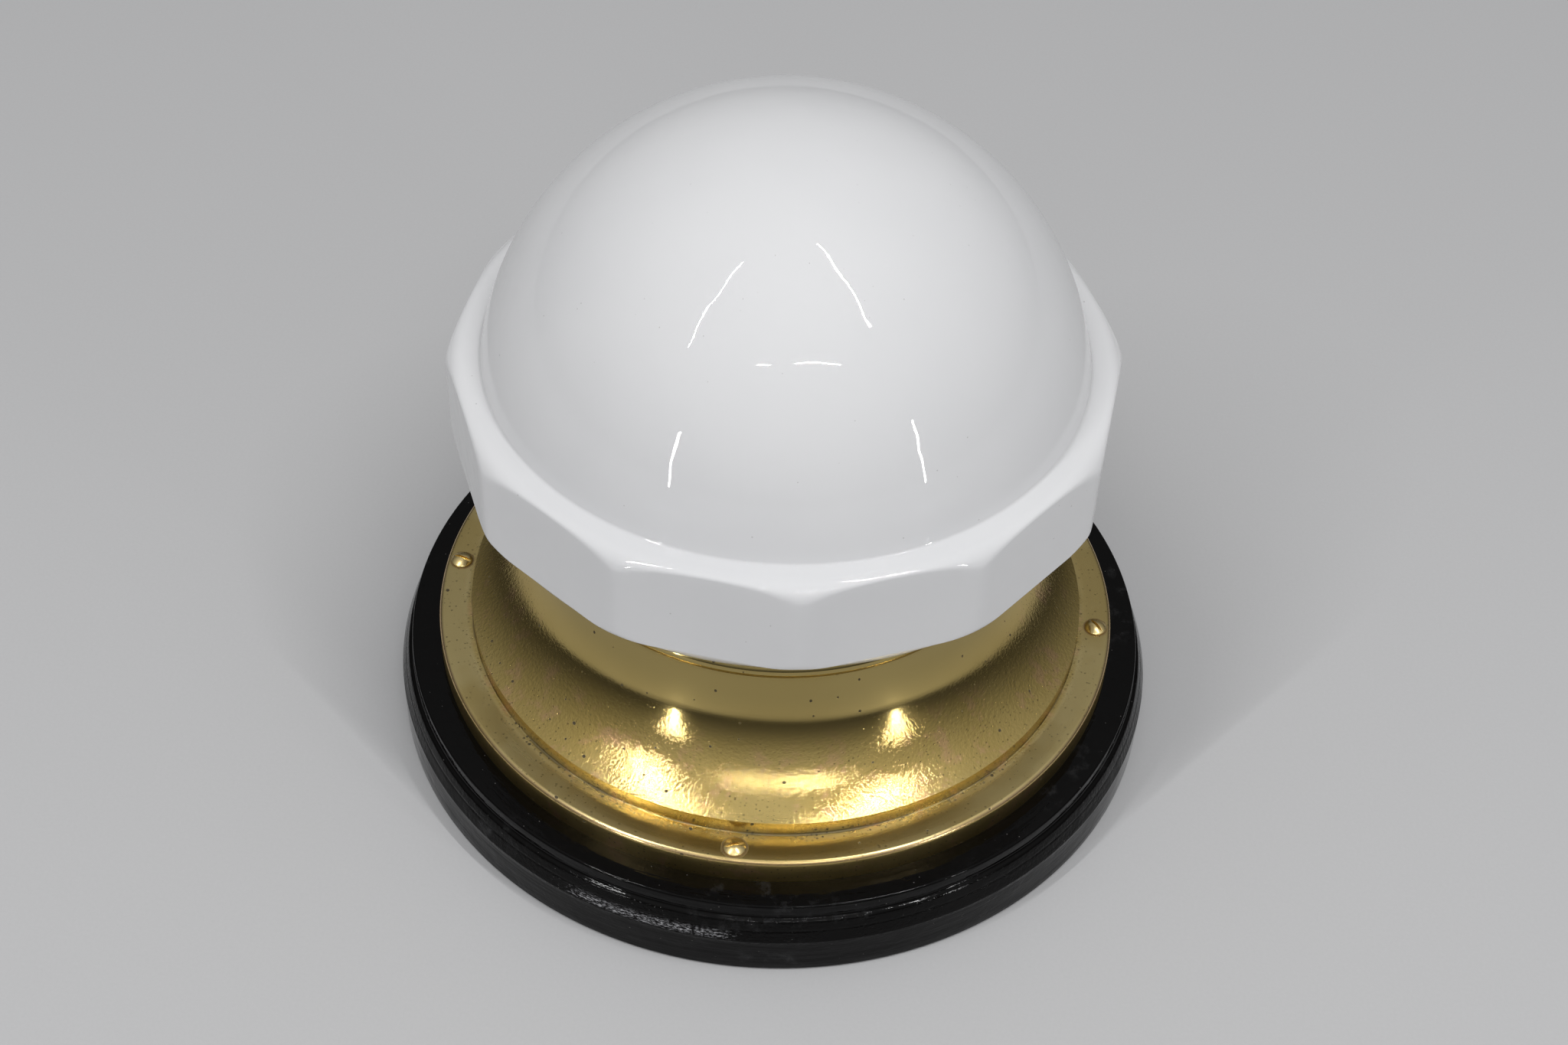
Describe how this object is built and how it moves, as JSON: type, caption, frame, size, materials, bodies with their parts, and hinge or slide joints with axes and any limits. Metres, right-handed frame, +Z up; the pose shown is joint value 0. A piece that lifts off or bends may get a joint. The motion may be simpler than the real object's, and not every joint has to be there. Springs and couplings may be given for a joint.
{
  "type": "ceiling light",
  "caption": "Round light with a domed, faceted opal glass shade held in a spun brass gallery on a black turned wooden rose, with a lampholder and lamp inside.",
  "frame": {"origin": "centre of the wooden rose's underside", "axes": "+Z up out of the rose through the shade's top, -Y towards the front gallery screw, +X to the right"},
  "size_m": [0.249, 0.249, 0.2209],
  "materials": {
    "black_wood": "old glossy black lacquer with brush marks and dust nibs",
    "gallery_brass": "polished spun brass with fine scratches, pits and dirt in the corners",
    "screw_brass": "bright newer brass",
    "opal_glass": "glossy white opal glass with a slightly wavy moulded surface",
    "porcelain": "white glaze",
    "contact_brass": "dull brass",
    "steel": "plain steel",
    "wire_cloth_brown": "braided cotton",
    "wire_cloth_black": "braided cotton",
    "clear_glass": "clear blown glass",
    "cap_metal": "satin",
    "black_glass": "dark pressed glass",
    "solder": "dull solder",
    "lead_metal": "drawn wire"
  },
  "bodies": {
    "root": {"rose": "black_wood", "gallery": "gallery_brass", "gallery_screws": "screw_brass", "grub_screw_bushes": "gallery_brass", "lampholder_body": "porcelain", "lampholder_shell": "contact_brass", "centre_contact": "contact_brass", "contact_screws": "contact_brass", "lampholder_terminals": "contact_brass", "lampholder_screws": "steel", "wire_left": "wire_cloth_brown", "wire_right": "wire_cloth_black", "terminal_block": "porcelain", "terminal_sleeves": "contact_brass", "clamp_screws": "steel", "block_screw": "steel"},
    "shade": {"glass_shade": "opal_glass"},
    "lamp": {"bulb_glass": "clear_glass", "bulb_cap": "cap_metal", "bulb_insulator": "black_glass", "bulb_contact": "solder", "bulb_stem": "clear_glass", "bulb_wires": "lead_metal", "filament": "lead_metal"},
    "grub_left": {"retaining_screw_left": "screw_brass"},
    "grub_right": {"retaining_screw_right": "screw_brass"},
    "grub_rear": {"retaining_screw_rear": "screw_brass"}
  },
  "joints": [
    {"name": "shade_lift", "type": "slide", "parent": "root", "child": "shade", "axis": [0, 0, 1], "range_m": [0, 0.13]},
    {"name": "lamp_unscrew", "type": "slide", "parent": "root", "child": "lamp", "axis": [0, 0, 1], "range_m": [0, 0.028]},
    {"name": "grub_left_turn", "type": "slide", "parent": "root", "child": "grub_left", "axis": [-0.8192, -0.5736, 0], "range_m": [-0.002, 0.003]},
    {"name": "grub_right_turn", "type": "slide", "parent": "root", "child": "grub_right", "axis": [0.9063, -0.4226, 0], "range_m": [-0.002, 0.003]},
    {"name": "grub_rear_turn", "type": "slide", "parent": "root", "child": "grub_rear", "axis": [-0.0872, 0.9962, 0], "range_m": [-0.002, 0.003]}
  ]
}
